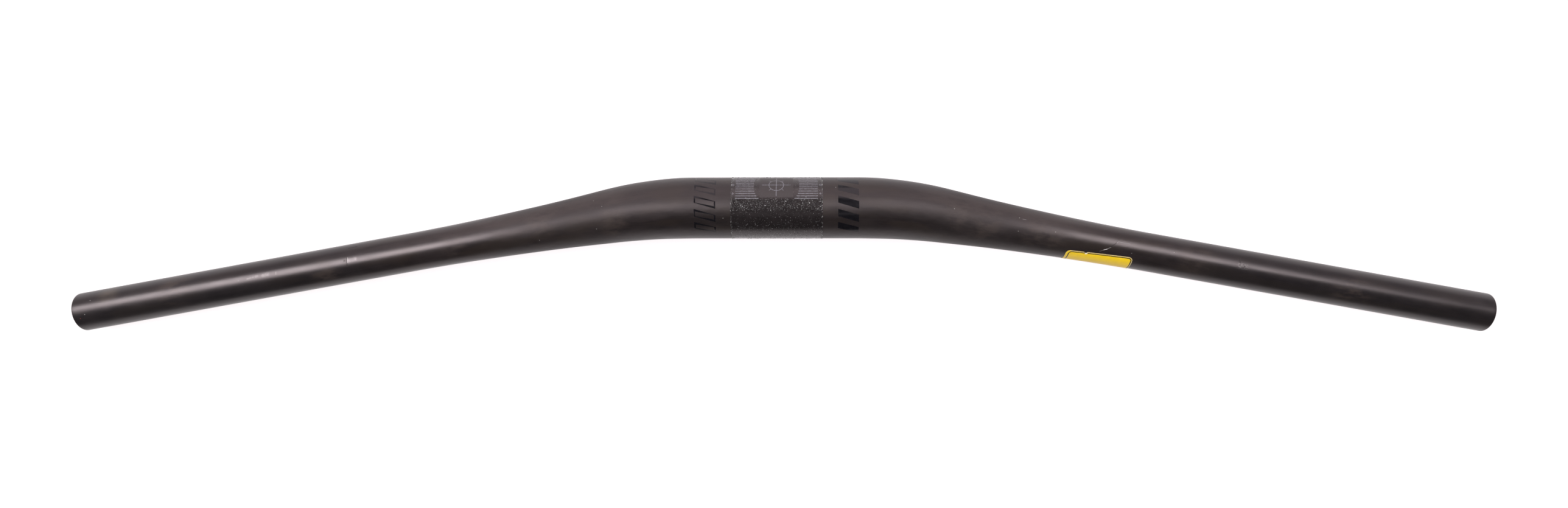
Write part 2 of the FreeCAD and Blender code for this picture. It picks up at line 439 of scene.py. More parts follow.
def carbon_skin():
    k = Nodes("carbon_skin")
    co = k.attribute("straight").outputs["Vector"]
    s, a, b = k.split(co)
    away = k.math("ABSOLUTE", s)
    arc = k.math("MULTIPLY", k.math("ARCTAN2", b, a), ARC_R)
    p = k.join(s, arc, 0.0)

    # fibre bundles under the clear coat, along the bar, and cloudy moulding tone
    fibre = k.noise(k.scaled(co, 0.012, 1.0, 1.0), 1.9, 5.0, 0.62)
    cloud = k.noise(k.scaled(co, 0.045, 0.10, 0.10), 1.0, 3.0, 0.55)
    fine = k.noise(co, 2.6, 3.0, 0.6)
    nick = k.noise(co, 1.5, 3.0, 0.7)
    mottle = k.noise(k.scaled(co, 0.10, 0.22, 0.22), 1.0, 3.0, 0.6)
    tone = k.math("ADD", k.math("MULTIPLY", fibre, 0.4), k.math("MULTIPLY", k.math("ADD", cloud, mottle), 0.3))
    colour = k.mix(k.ramp(tone, 0.36, 0.64), (0.0092, 0.0070, 0.0071, 1), (0.0178, 0.0136, 0.0138, 1))
    warm = k.noise(k.scaled(co, 0.03, 0.12, 0.12), 1.0, 2.0, 0.5)
    colour = k.mix(k.ramp(warm, 0.45, 0.62, 0.0, 0.6), colour, (0.0195, 0.0142, 0.0118, 1))

    # blacker under the dull coat of the middle, cooler on the grips
    colour = k.mix(k.ramp(away, 150.0, 215.0, 0.20, 0.0), colour, (0.0, 0.0, 0.0, 1))
    colour = k.mix(k.ramp(away, 205.0, 265.0, 0.0, 0.50), colour, (0.0056, 0.0056, 0.0070, 1))

    # lighter brownish patches at listed places, a little duller
    blotch_noise = k.noise(k.scaled(co, 0.07, 0.20, 0.20), 1.0, 4.0, 0.7)
    brown_patches = None
    for s0, deg, r in ((-158, 82, 10.0), (-147, 98, 12.0), (-118, 92, 13.0), (-102, 108, 10.0),
                       (-240, 96, 14.0), (-330, 84, 16.0), (92, 82, 12.0), (134, 112, 12.0), (186, 92, 10.0),
                       (262, 78, 12.0), (352, 122, 16.0)):
        q = k.ramp(k.apart(p, at(s0, deg)), 0.2 * r, r, 1.0, 0.0)
        brown_patches = q if brown_patches is None else k.math("MAXIMUM", brown_patches, q)
    brown_patches = k.math("MULTIPLY", brown_patches, k.ramp(blotch_noise, 0.40, 0.62))
    colour = k.mix(k.math("MULTIPLY", brown_patches, 0.75), colour, (0.0300, 0.0225, 0.0200, 1))

    # a lighter brown patch by the +X end
    tip_patch = k.ramp(k.apart(p, at(392.0, 139.0)), 1.0, 9.0, 1.0, 0.0)
    tip_patch = k.math("MULTIPLY", tip_patch, k.ramp(blotch_noise, 0.30, 0.60, 0.35, 1.0))
    colour = k.mix(k.math("MULTIPLY", tip_patch, 0.8), colour, (0.046, 0.036, 0.029, 1))
    # painted sheen: haze lightens the colour to brown on the upper side of the bends (arc 112° to 162°), the side the
    # front lamp lights
    haze = k.math("MULTIPLY", k.ramp(away, 58.0, 95.0), k.ramp(away, 160.0, 212.0, 1.0, 0.0))
    haze = k.math("MULTIPLY", haze, k.math("MULTIPLY", k.ramp(arc, at(0, 112)[1], at(0, 128)[1]),
                                           k.ramp(arc, at(0, 146)[1], at(0, 162)[1], 1.0, 0.0)))
    haze = k.math("MULTIPLY", haze, k.ramp(blotch_noise, 0.30, 0.60, 0.45, 1.0))
    colour = k.mix(k.math("MULTIPLY", haze, 0.75), colour, (0.0280, 0.0215, 0.0205, 1))

    # the coat is dullest over the bends and satin on the grips
    reach = k.math("ADD", away, k.ramp(s, -5.0, 5.0, 4.0, 0.0))
    rough = k.math("SUBTRACT", k.ramp(reach, 130.0, 195.0, 0.51, 0.33), k.ramp(away, 55.0, 95.0, 0.06, 0.0))
    rough = k.math("ADD", rough, k.math("SUBTRACT", k.ramp(s, 300.0, 400.0, 0.0, 0.02),
                                        k.math("MULTIPLY", k.ramp(s, 150.0, 195.0, 0.0, 0.020),
                                               k.ramp(s, 270.0, 330.0, 1.0, 0.0))))
    rough = k.math("ADD", rough, k.math("MULTIPLY", k.ramp(away, 85.0, 105.0), k.ramp(away, 118.0, 140.0, 0.05, 0.0)))
    rough = k.math("ADD", rough, k.math("MULTIPLY", k.math("SUBTRACT", cloud, 0.5), 0.12))
    rough = k.math("ADD", rough, k.math("MULTIPLY", k.math("SUBTRACT", mottle, 0.5), 0.13))
    rough = k.math("ADD", rough, k.math("MULTIPLY", k.math("SUBTRACT", fine, 0.5), 0.03))
    rough = k.math("MAXIMUM", k.math("ADD", rough, k.math("MULTIPLY", brown_patches, 0.03)), 0.295)

    # lever clamp's print on the +X grip: a polished patch between two fine lines. Its paler colour, kept to the
    # highlight band, is painted highlight
    print_a_and_highlight = k.box(s, arc, 242.2, 247.5, at(0, 90)[1], at(0, 113.0)[1], 0.45)
    low = k.math("SUBTRACT", arc, k.math("MULTIPLY", k.math("SUBTRACT", 247.5, s), 0.09))
    print_a_and_highlight = k.math("MULTIPLY", print_a_and_highlight, k.ramp(low, at(0, 99)[1] - 0.7, at(0, 99)[1] + 0.7))
    ends = k.math("MAXIMUM", k.ramp(s, 242.9, 244.0, 1.0, 0.55), k.ramp(s, 245.6, 247.2, 0.55, 1.0))
    print_a_and_highlight = k.math("MULTIPLY", k.math("MULTIPLY", print_a_and_highlight, ends), k.ramp(nick, 0.30, 0.50, 0.45, 1.0))
    # and on the -X grip: a rough patch, paler and nicked
    print_b = k.box(s, arc, -268.7, -263.6, at(0, 97)[1], at(0, 112)[1], 0.8)
    print_b = k.math("MULTIPLY", print_b, k.ramp(nick, 0.42, 0.58))
    # scuffs along the +X grip
    rub = k.noise(k.scaled(co, 0.45, 1.0, 1.0), 1.15, 3.0, 0.65)
    scuff = None
    for pts, half, soft in (
            ([at(312.7, 104.2), at(312.2, 104.3)], 0.16, 0.22), ([at(307.2, 105.1), at(305.2, 105.9)], 0.24, 0.40),
            ([at(304.1, 106.8), at(303.6, 107.3)], 0.24, 0.34), ([at(302.0, 107.6), at(301.3, 108.6)], 0.45, 0.60),
            ([at(297.6, 107.4), at(295.0, 108.4)], 0.70, 1.10), ([at(290.0, 110.3), at(290.15, 103.6)], 0.20, 0.22)):
        q = k.trace(p, pts, half, soft)
        scuff = q if scuff is None else k.math("MAXIMUM", scuff, q)
    scuff = k.math("MULTIPLY", scuff, k.ramp(rub, 0.34, 0.60, 0.45, 1.0))

    pale = k.trace(p, [at(-186.7, 80.2), at(-187.5, 82.2), at(-188.4, 84.6)], 0.15, 0.09)
    faint = k.math("MAXIMUM",
                   k.trace(p, [at(-184.6, 74.0), at(-186.7, 80.2)], 0.06, 0.06),
                   k.trace(p, [at(-188.4, 84.6), at(-190.4, 92.0)], 0.09, 0.07))
    faint = k.math("MAXIMUM", faint,
                   k.trace(p, [at(-193.0, 107.0), at(-194.2, 111.0), at(-197.0, 110.4), at(-200.9, 111.0)], 0.10, 0.08))
    faint = k.math("MAXIMUM", faint, k.trace(p, [at(-138.2, 123.5), at(-140.2, 124.0)], 0.05, 0.05))
    # edge: a light line along the +X print's outer end, kept to the highlight band: painted highlight
    edge = k.trace(p, [at(247.25, 115.0), at(247.6, 99.0)], 0.12, 0.08)
    light = k.math("MAXIMUM", k.math("MAXIMUM", pale, k.math("MULTIPLY", faint, 0.45)),
                   k.math("MAXIMUM", k.math("MULTIPLY", edge, 0.6), k.math("MULTIPLY", scuff, 0.13)))
    light = k.math("MAXIMUM", light, k.math("MAXIMUM", k.math("MULTIPLY", print_b, 0.13), k.math("MULTIPLY", print_a_and_highlight, 0.10)))

    dark = k.trace(p, [at(-190.2, 91.5), at(-191.7, 99.7), at(-193.0, 107.0)], 0.10, 0.08)
    for pts, half in (
            ([at(247.75, 114.0), at(248.4, 90.4)], 0.075),
            ([at(248.9, 108.5), at(249.0, 104.0)], 0.11), ([at(249.6, 108.6), at(249.7, 104.5)], 0.11),
            ([at(247.4, 146.2), at(242.2, 148.0)], 0.22),
            ([at(-263.7, 127.0), at(-264.3, 113.0)], 0.20),
            ([at(-264.9, 97.9), at(-266.5, 98.6)], 0.18), ([at(-267.5, 99.0), at(-268.6, 99.4)], 0.18),
            ([at(-267.0, 107.5), at(-266.9, 104.5)], 0.16)):
        dark = k.math("MAXIMUM", dark, k.trace(p, pts, half, 0.08))
    dark = k.math("MAXIMUM", dark, k.math("MULTIPLY", k.trace(p, [at(244.2, 73.0), at(243.0, 58.0)], 0.9, 0.8), 0.6))

    # dust specks: the ones seen, and a few more all over
    seen = k.dots(p, [(*at(401.9, 127.4), 0.17), (*at(405.8, 87.5), 0.15), (*at(-202.6, 84.9), 0.13),
                      (*at(-226.2, 109.0), 0.18), (*at(-98.8, 114.8), 0.12), (*at(-136.3, 125.2), 0.13),
                      (*at(-136.7, 91.0), 0.12), (*at(-157.7, 106.0), 0.12), (*at(29.7, 78.1), 0.12),
                      (*at(-33.3, 138.0), 0.11), (*at(136.2, 67.0), 0.13), (*at(102.4, 73.6), 0.11),
                      (*at(101.7, 138.0), 0.10), (*at(97.0, 119.1), 0.10)], 0.09)
    rust = k.dots(p, [(*at(409.1, 77.8), 0.15)], 0.10)
    cells = k.voronoi(k.scaled(co, 0.11, 0.11, 0.11), 1.0)
    pick = k.split(cells.outputs["Color"])[0]
    dust = k.math("MULTIPLY", k.ramp(cells.outputs["Distance"], 0.014, 0.022, 1.0, 0.0),
                  k.ramp(pick, 0.86, 0.87))
    dust = k.math("MAXIMUM", k.math("MULTIPLY", dust, 0.5), seen)

    # pale marks: scratches, scuffs and the -X print are wear; the +X print's paler patch and its edge line are painted
    # highlight
    colour = k.mix(light, colour, (0.46, 0.43, 0.43, 1))
    colour = k.mix(dust, colour, (0.36, 0.345, 0.335, 1))
    colour = k.mix(rust, colour, (0.26, 0.055, 0.040, 1))
    colour = k.mix(dark, colour, (0.003, 0.0028, 0.0028, 1))
    rough = k.blend(k.math("MULTIPLY", print_a_and_highlight, 0.85), rough, 0.19)
    rough = k.blend(k.math("MULTIPLY", scuff, 0.7), rough, 0.22)
    rough = k.blend(print_b, rough, 0.24)
    rough = k.blend(k.math("MAXIMUM", dark, k.math("MAXIMUM", dust, pale)), rough, 0.62)

    # the lacquer stops short of the cut ends and leaves a thin brown line
    raw = k.ramp(away, S_END - 0.42, S_END - 0.30)
    colour = k.mix(raw, colour, (0.030, 0.013, 0.010, 1))
    rough = k.blend(raw, rough, 0.70)

    k.put(k.bsdf.inputs["Base Color"], colour)
    k.put(k.bsdf.inputs["Roughness"], rough)
    k.bsdf.inputs["IOR"].default_value = 1.5
    k.bsdf.inputs["Specular IOR Level"].default_value = 0.41
    k.bsdf.inputs["Specular Tint"].default_value = (1.0, 0.86, 0.885, 1)
    # the dull coat is rubbed down round the bar, so it spreads light along it
    k.put(k.bsdf.inputs["Anisotropic"], k.ramp(away, 85.0, 180.0, 0.50, 0.15))
    k.put(k.bsdf.inputs["Tangent"], k.attribute("along").outputs["Vector"])
    peel = k.noise(co, 0.9, 2.0, 0.5)
    wave = k.noise(k.scaled(co, 0.13, 0.17, 0.17), 1.0, 2.0, 0.55)
    n0 = k.bump(wave, k.ramp(away, 150.0, 200.0, 0.5, 0.0), 0.00030)
    n1 = k.bump(peel, 0.04, 0.00006, n0)
    n2 = k.bump(fine, 0.03, 0.00002, n1)
    cut = k.math("SUBTRACT", k.math("MULTIPLY", print_b, nick), k.math("ADD", dark, k.math("ADD", pale, faint)))
    n3 = k.bump(cut, 0.5, 0.00008, n2)
    k.put(k.bsdf.inputs["Normal"], n3)
    return k.mat


def cut_laminate():
    k = Nodes("cut_laminate")
    co = k.attribute("straight").outputs["Vector"]
    s, a, b = k.split(co)
    r = k.math("SQRT", k.math("ADD", k.math("MULTIPLY", a, a), k.math("MULTIPLY", b, b)))
    wob = k.noise(co, 0.9, 2.0, 0.5)
    ply = k.math("SINE", k.math("ADD", k.math("MULTIPLY", r, 26.0), k.math("MULTIPLY", wob, 5.0)))
    grain = k.noise(co, 5.0, 3.0, 0.6)
    f = k.math("ADD", k.math("MULTIPLY", ply, 0.25), grain)
    k.put(k.bsdf.inputs["Base Color"],
          k.mix(k.ramp(f, 0.2, 0.9), (0.010, 0.0095, 0.0095, 1), (0.050, 0.047, 0.045, 1)))
    k.put(k.bsdf.inputs["Roughness"], k.ramp(grain, 0.3, 0.7, 0.50, 0.72))
    k.put(k.bsdf.inputs["Normal"], k.bump(f, 0.35, 0.00008))
    return k.mat


def bore_resin():
    """Inside of the tube: dark resin, folded lengthwise where the inner bag pressed it."""
    k = Nodes("bore_resin")
    co = k.attribute("straight").outputs["Vector"]
    fold = k.noise(k.scaled(co, 0.016, 0.24, 0.24), 1.0, 4.0, 0.62)
    grain = k.noise(co, 2.4, 3.0, 0.6)
    ridge = k.ramp(k.math("ABSOLUTE", k.math("SUBTRACT", fold, 0.5)), 0.0, 0.10, 1.0, 0.0)
    k.put(k.bsdf.inputs["Base Color"],
          k.mix(k.math("MULTIPLY", ridge, grain), (0.0085, 0.0080, 0.0080, 1), (0.034, 0.031, 0.030, 1)))
    k.put(k.bsdf.inputs["Roughness"], k.ramp(grain, 0.3, 0.7, 0.26, 0.46))
    k.put(k.bsdf.inputs["Normal"], k.bump(ridge, 0.55, 0.00035))
    return k.mat


bar.data.materials.append(carbon_skin())
bar.data.materials.append(cut_laminate())
bar.data.materials.append(bore_resin())
bar.data.polygons.foreach_set("material_index", kinds)
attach(bar, "root")
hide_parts("handlebar")

# ------------------------------------------------------------------------
# Yellow film on the -X arm
# ------------------------------------------------------------------------
FILM_S, FILM_PHI = -185.9, math.radians(12.0)
FILM_L, FILM_W, FILM_SKEW = 37.8, 22.0, math.radians(3.2)
FILM_CORNER = 2.4
CHIP_U = 8.0                          # where a bit of the upper edge is torn off


def film():
    n, m = 420, 14
    hl, hw, c = FILM_L / 2, FILM_W / 2, FILM_CORNER
    # outline of a rounded rectangle by arc length
    per = []
    for cx, cy, a0 in ((hl - c, hw - c, 0), (-hl + c, hw - c, 90), (-hl + c, -hw + c, 180), (hl - c, -hw + c, 270)):
        for t in np.linspace(0, 90, 14):
            a = math.radians(a0 + t)
            per.append((cx + c * math.cos(a), cy + c * math.sin(a)))
    per = np.array(per + per[:1])
    d = np.concatenate([[0], np.cumsum(np.hypot(*np.diff(per, axis=0).T))])
    t = np.linspace(0, d[-1], n, endpoint=False)
    rim = np.stack([np.interp(t, d, per[:, 0]), np.interp(t, d, per[:, 1])], -1)
    # a small chip out of the upper edge
    near = np.clip((0.95 - np.abs(rim[:, 0] - CHIP_U)) / 0.30, 0, 1) * (rim[:, 1] > hw - 0.5)
    rim[:, 1] -= near * (0.52 + 0.22 * np.sin(rim[:, 0] * 5.0))
    rad = np.linspace(0.04, 1, m) ** 0.75
    grid = rim[:, None, :] * rad[None, :, None]
    u, v = grid[..., 0], grid[..., 1]
    # u runs towards the clamp, v round the arm
    su = u * math.cos(FILM_SKEW) + v * math.sin(FILM_SKEW)
    sv = -u * math.sin(FILM_SKEW) + v * math.cos(FILM_SKEW)
    s = FILM_S + su
    phi = FILM_PHI + sv / 11.43
    sk = Skin()
    local = np.stack([u, v, np.zeros_like(u)], -1)
    sk.pad(s, phi, 0.13, 0.01, loop=True, local=local)
    # close the small hole left in the middle
    k = n * m
    top = [i * m for i in range(n)]
    low = [k + i * m for i in range(n)]
    sk.points.append(on_bar(np.array([FILM_S]), np.array([FILM_PHI]), 0.13)[0].tolist())
    sk.points.append(on_bar(np.array([FILM_S]), np.array([FILM_PHI]), 0.01)[0].tolist())
    sk.local += [[0, 0, 0], [0, 0, 0]]
    # drop the inner side walls and fan to the middle
    inner = set(top) | set(low)
    sk.faces = [f for f in sk.faces if not all(i in inner for i in f)]
    a, b = 2 * k, 2 * k + 1
    for i in range(n):
        j = (i + 1) % n
        sk.faces.append((top[i], top[j], a))
        sk.faces.append((low[j], low[i], b))
    ob = sk.build("film_yellow")
    bm = bmesh.new()
    bm.from_mesh(ob.data)
    bmesh.ops.recalc_face_normals(bm, faces=bm.faces)
    bm.to_mesh(ob.data)
    bm.free()
    return ob


def film_ink():
    k = Nodes("film_ink")
    co = k.attribute("local").outputs["Vector"]
    u, v, _ = k.split(co)

    def inset(u0, half_u, half_v, corner):
        """Distance inside a rounded rectangle."""
        qx = k.math("SUBTRACT", k.math("ABSOLUTE", k.math("SUBTRACT", u, u0)), half_u - corner)
        qy = k.math("SUBTRACT", k.math("ABSOLUTE", v), half_v - corner)
        ox, oy = k.math("MAXIMUM", qx, 0.0), k.math("MAXIMUM", qy, 0.0)
        outside = k.math("SQRT", k.math("ADD", k.math("MULTIPLY", ox, ox), k.math("MULTIPLY", oy, oy)))
        inside = k.math("MINIMUM", k.math("MAXIMUM", qx, qy), 0.0)
        return k.math("SUBTRACT", corner, k.math("ADD", outside, inside))

    wob = k.math("MULTIPLY", k.math("SUBTRACT", k.noise(co, 0.8, 2.0), 0.5), 0.08)
    edge = k.math("ADD", inset(0.0, FILM_L / 2, FILM_W / 2, FILM_CORNER), wob)
    # the printed border sits a little off centre, so the margin is wider at one end
    frame_in = k.math("ADD", inset(-0.48, FILM_L / 2 - 0.80, FILM_W / 2 - 0.40, FILM_CORNER - 0.3), wob)
    keyline = k.math("MULTIPLY", k.ramp(frame_in, -0.05, 0.05), k.ramp(frame_in, 0.55, 0.65, 1.0, 0.0))
    torn = k.vec("LENGTH", k.vec("SUBTRACT", co, (CHIP_U - 0.35, FILM_W / 2 - 0.75, 0.0)), out=1)
    worn = k.noise(co, 0.35, 3.0, 0.6)
    yellow = k.mix(k.ramp(worn, 0.3, 0.7), (0.755, 0.498, 0.010, 1), (0.795, 0.532, 0.015, 1))
    pale = k.math("MULTIPLY", k.ramp(edge, 0.22, 0.38, 1.0, 0.0), k.ramp(u, 16.0, 17.5, 1.0, 0.35))
    yellow = k.mix(pale, yellow, (0.70, 0.56, 0.27, 1))
    col = k.mix(keyline, yellow, (0.020, 0.012, 0.006, 1))
    bare = k.math("MULTIPLY", k.ramp(torn, 0.45, 0.95, 1.0, 0.0), k.ramp(k.noise(co, 1.4, 2.0, 0.6), 0.30, 0.42))
    col = k.mix(bare, col, (0.80, 0.74, 0.62, 1))
    k.put(k.bsdf.inputs["Base Color"], col)
    k.put(k.bsdf.inputs["Roughness"], k.blend(bare, k.ramp(worn, 0.3, 0.7, 0.34, 0.44), 0.7))
    k.bsdf.inputs["Specular IOR Level"].default_value = 0.32
    k.put(k.bsdf.inputs["Normal"], k.bump(k.noise(co, 1.2, 2.0), 0.08, 0.00006))
    return k.mat


sticker = film()
sticker.data.materials.append(film_ink())
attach(sticker, "root")
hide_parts("blank_sticker")

# ------------------------------------------------------------------------
# Clamp zone: printed alignment marks, gloss bars and the grit coat
# ------------------------------------------------------------------------
ZONE_A, ZONE_B = -26.0, 25.5          # grit zone along the bar
CROSS = math.radians(144.3)           # the marks' middle, round the bar
CROSS_ARC = CROSS * CLAMP_R
STEP = 1.51                           # graduation pitch


def window(s, arc_off):
    """True in the smooth field left round the marks."""
    a = abs(arc_off)
    return a < 8.7 and abs(s) < 9.4


def coat():
    """The lacquer that holds the grit: a thin sleeve with a slight ridge at each edge."""
    sk = Skin()
    w = ZONE_B - ZONE_A
    off = np.concatenate([[0, 0.05, 0.18, 0.34, 0.55], np.linspace(1.2, w - 1.2, 24),
                          w - np.array([0.55, 0.34, 0.18, 0.05, 0])])
    lift = np.where(np.minimum(off, w - off) < 0.4, 0.085, 0.035)
    lift[[0, -1]] = 0.0
    u = np.linspace(0, 2 * math.pi, 192, endpoint=False)
    s = np.repeat((ZONE_A + off)[None, :], len(u), 0)
    phi = np.repeat(u[:, None], len(off), 1)
    wob = 0.12 * np.sin(7 * phi) * np.sin(13 * phi + 1.0) * np.sin(3 * phi + 0.4)
    s = s + wob * (np.minimum(off, w - off) < 0.6)[None, :]
    local = np.stack([s, CLAMP_R * np.cos(phi), CLAMP_R * np.sin(phi)], -1)
    sk.pad(s, phi, np.repeat(lift[None, :], len(u), 0), -0.06, loop=True, local=local)
    return sk.build("grit_coat")


def coat_lacquer():
    k = Nodes("grit_lacquer")
    co = k.attribute("local").outputs["Vector"]
    s, a, b = k.split(co)
    arc = k.math("MULTIPLY", k.math("ARCTAN2", b, a), CLAMP_R)
    off = k.math("ABSOLUTE", k.math("SUBTRACT", arc, CROSS_ARC))
    away = k.math("ABSOLUTE", s)
    # smooth field round the marks, grit elsewhere
    ragged = k.math("MULTIPLY", k.math("SUBTRACT", k.noise(co, 0.9, 3.0, 0.7), 0.5), 1.6)
    field = k.math("MULTIPLY", k.ramp(k.math("ADD", away, ragged), 9.1, 9.7, 1.0, 0.0), k.ramp(k.math("ADD", off, k.math("MULTIPLY", ragged, 0.9)), 7.6, 8.8, 1.0, 0.0))
    lumps = k.voronoi(co, 2.3, "SMOOTH_F1")
    lumps.inputs["Smoothness"].default_value = 0.35
    grainy = k.math("ADD", lumps.outputs["Distance"], k.math("MULTIPLY", k.noise(co, 4.2, 3.0, 0.65), 0.8))
    cloud = k.noise(co, 0.28, 2.0, 0.5)
    deep = k.mix(k.ramp(cloud, 0.3, 0.7), (0.0084, 0.0067, 0.0070, 1), (0.0116, 0.0094, 0.0098, 1))
    k.put(k.bsdf.inputs["Base Color"], k.mix(field, deep, (0.0150, 0.0124, 0.0128, 1)))
    rough = k.ramp(cloud, 0.3, 0.7, 0.17, 0.22)
    k.put(k.bsdf.inputs["Roughness"], k.blend(field, rough, 0.48))
    k.bsdf.inputs["Specular Tint"].default_value = (1.0, 0.88, 0.90, 1)
    height = k.math("MULTIPLY", grainy, k.blend(field, 1.0, 0.15))
    k.put(k.bsdf.inputs["Normal"], k.bump(height, 0.35, 0.00010))
    return k.mat


sleeve = coat()
sleeve.data.materials.append(coat_lacquer())
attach(sleeve, "root")


def clamp_marks():
    sk = Skin()
    top, low = 0.062, -0.02
    cy = CROSS_ARC

    def stroke(p, q, w):
        sk.stroke([(p[0], cy + p[1]), (q[0], cy + q[1])], w, top, low)

    sk.ring((0.0, cy), 4.15, 0.36, top, low)
    stroke((-8.1, 0), (8.1, 0), 0.36)
    stroke((0, -7.6), (0, 7.6), 0.38)
    for ax in (45, 135, 225, 315):
        c, s_ = math.cos(math.radians(ax)), math.sin(math.radians(ax))
        stroke((4.5 * c, 4.5 * s_), (5.7 * c, 5.7 * s_), 0.32)
    inner = {0: 12.6, 1: 12.6, 2: 12.4, 3: 12.2, 4: 11.8, 5: 11.1, 6: 9.9}
    for i in range(-6, 7):
        x = inner[abs(i)]
        y = i * STEP
        stroke((x, y), (22.9, y), 0.46)
        stroke((-x - 0.3, y), (-23.3, y), 0.46)
    for x in (24.35, -24.75):
        sk.ring((x, cy), 0.62, 0.30, top, low, 28)
        for y in (-6.2, 6.2):
            stroke((x - 0.75, y), (x + 0.75, y), 0.30)
            stroke((x, y - 0.75), (x, y + 0.75), 0.30)
    return sk.build("clamp_marks")


def print_ink():
    k = Nodes("print_ink")
    co = k.attribute("local").outputs["Vector"]
    worn = k.noise(co, 1.6, 4.0, 0.7)
    k.put(k.bsdf.inputs["Base Color"],
          k.mix(k.ramp(worn, 0.36, 0.60), (0.032, 0.029, 0.035, 1), (0.145, 0.135, 0.156, 1)))
    k.put(k.bsdf.inputs["Roughness"], k.ramp(worn, 0.3, 0.7, 0.34, 0.50))
    k.put(k.bsdf.inputs["Normal"], k.bump(k.noise(co, 4.0, 2.0), 0.25, 0.00004))
    return k.mat


marks = clamp_marks()
marks.data.materials.append(print_ink())
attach(marks, "root")


def gloss_bars(name, s0, s1, outline):
    """Plain slanted dashes round the bar beside the clamp zone."""
    sk = Skin()
    top, low = 0.02, -0.05
    lean = 3.4
    for i in range(5):
        mid = math.radians(158 - 25.0 * i)
        arc = mid * CLAMP_R
        h = 2.1
        quad = np.array([(s0, arc - h - lean / 2), (s1, arc - h + lean / 2),
                         (s1, arc + h + lean / 2), (s0, arc + h - lean / 2)])
        if outline:
            c = quad.mean(0)
            inn = np.array([c + (p - c) * np.array([0.87, 0.62]) for p in quad])
            loop_o, loop_i = [], []
            for e in range(4):
                for t in np.linspace(0, 1, 10, endpoint=False):
                    loop_o.append(quad[e] + (quad[(e + 1) % 4] - quad[e]) * t)
                    loop_i.append(inn[e] + (inn[(e + 1) % 4] - inn[e]) * t)
            g = np.stack([np.array(loop_i), np.array(loop_o)], 1)
            sk.pad(g[..., 0], g[..., 1] / CLAMP_R, top, low, loop=True)
        else:
            u = np.linspace(0, 1, 14)
            v = np.linspace(0, 1, 10)
            uu, vv = np.meshgrid(u, v, indexing="ij")
            p = (quad[0] * ((1 - uu) * (1 - vv))[..., None] + quad[1] * (uu * (1 - vv))[..., None]
                 + quad[2] * (uu * vv)[..., None] + quad[3] * ((1 - uu) * vv)[..., None])
            sk.pad(p[..., 0], p[..., 1] / CLAMP_R, top, low)
    return sk.build(name)


def gloss_lacquer():
    k = Nodes("gloss_lacquer")
    co = k.attribute("local").outputs["Vector"]
    haze = k.noise(co, 0.5, 3.0, 0.6)
    k.put(k.bsdf.inputs["Base Color"],
          k.mix(k.ramp(haze, 0.3, 0.7), (0.0034, 0.0032, 0.0044, 1), (0.0048, 0.0046, 0.0062, 1)))
    k.put(k.bsdf.inputs["Roughness"], k.ramp(haze, 0.3, 0.7, 0.15, 0.22))
    k.bsdf.inputs["Specular IOR Level"].default_value = 0.30
    k.bsdf.inputs["Specular Tint"].default_value = (1.0, 0.89, 0.92, 1)
    k.put(k.bsdf.inputs["Normal"], k.bump(k.noise(co, 1.0, 2.0), 0.10, 0.00005))
    return k.mat


lacquer = gloss_lacquer()
for name, s0, s1, outline in (("gloss_bars_left", 34.0, 46.0, True), ("gloss_bars_right", -46.2, -34.6, False)):
    ob = gloss_bars(name, s0, s1, outline)
    ob.data.materials.append(lacquer)
    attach(ob, "root")


def grit():
    """Sharp grains set in the lacquer all round the clamp zone, thicker at its edges."""
    rng = random.Random(41)
    points, faces, tone = [], [], []
    octa = np.array([(1, 0, 0), (-1, 0, 0), (0, 1, 0), (0, -1, 0), (0, 0, 1), (0, 0, -1)], float)
    tris = [(0, 2, 4), (2, 1, 4), (1, 3, 4), (3, 0, 4), (2, 0, 5), (1, 2, 5), (3, 1, 5), (0, 3, 5)]
    count = 0
    while count < 22000:
        edge = rng.random() < 0.075
        if edge:
            s = (ZONE_A + abs(rng.gauss(0, 0.25))) if rng.random() < 0.5 else (ZONE_B - abs(rng.gauss(0, 0.25)))
        else:
            s = rng.uniform(ZONE_A + 0.1, ZONE_B - 0.1)
        phi = rng.uniform(0, 2 * math.pi)
        off = ((phi - CROSS + math.pi) % (2 * math.pi) - math.pi) * CLAMP_R
        if window(s, off) and rng.random() < 0.985:
            continue
        if abs(off) < 9.4 and abs(s) < 23.5 and rng.random() < 0.55:
            continue
        # thickest in a band beside the marks
        band = -15.8 < off < -8.2
        below = -30.0 < off <= -15.8
        if not band and not edge and rng.random() < (0.55 if below else 0.45):
            continue
        size = min(0.30, (0.062 if band or edge else 0.054) * math.exp(rng.gauss(0.25, 0.42)))
        q = [rng.gauss(0, 1) for _ in range(3)]
        m = np.array(Matrix.Rotation(rng.uniform(0, 6.28), 3, Vector(q)))
        sc = np.array([rng.uniform(0.7, 1.5), rng.uniform(0.7, 1.3), rng.uniform(0.6, 1.1)])
        jig = np.array([[rng.uniform(-0.25, 0.25) for _ in range(3)] for _ in range(6)])
        c = on_bar(np.array(s), np.array(phi), 0.03 + size * 0.12)
        p = c + ((octa + jig) * sc * size) @ m.T
        base = len(points)
        points.extend(p.tolist())
        faces.extend([(base + a, base + b, base + cc) for a, b, cc in tris])
        # band and edge grains can reach the white tone; in the band beside the marks that white is painted glint
        tone.extend([rng.random() * (1.0 if band or edge else 0.85)] * 6)
        count += 1
    ob = make_mesh("clamp_grit", points, faces, smooth=False)
    add_floats(ob, "tone", tone)
    bm = bmesh.new()
    bm.from_mesh(ob.data)
    bmesh.ops.recalc_face_normals(bm, faces=bm.faces)
    bm.to_mesh(ob.data)
    bm.free()
    return ob


